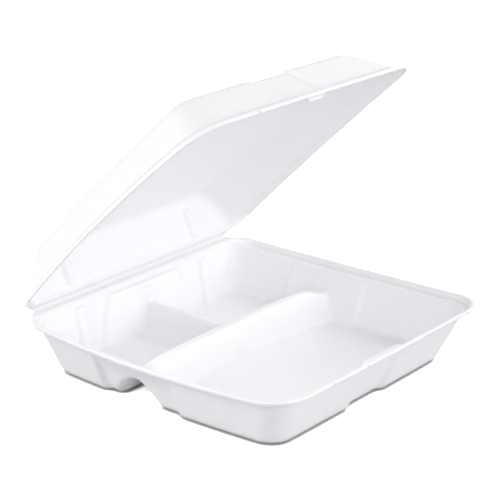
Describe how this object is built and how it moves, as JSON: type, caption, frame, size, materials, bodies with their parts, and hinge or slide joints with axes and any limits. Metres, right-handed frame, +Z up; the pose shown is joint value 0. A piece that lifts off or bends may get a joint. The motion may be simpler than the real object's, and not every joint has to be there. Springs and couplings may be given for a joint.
{
  "type": "foam clamshell food container",
  "caption": "Square hinged takeaway container of white foam: a base tray divided into compartments and a domed lid, half open.",
  "frame": {"origin": "on the ground, midway between the hinge axis and the middle of the front edge", "axes": "+X along the hinge, -Y to the front where it opens, +Z up"},
  "size_m": [0.247, 0.2467, 0.2126],
  "materials": {
    "foam_base": "satin white expanded foam sheet",
    "foam_lid": "satin white expanded foam sheet"
  },
  "bodies": {
    "base": {"base_tray": "foam_base"},
    "lid": {"lid": "foam_lid"}
  },
  "joints": [
    {"name": "lid_fold", "type": "hinge", "parent": "base", "child": "lid", "pos_m": [0, 0.1185, 0.0432], "axis": [-1, 0, 0], "range_deg": [-43.5, 136.5]}
  ]
}
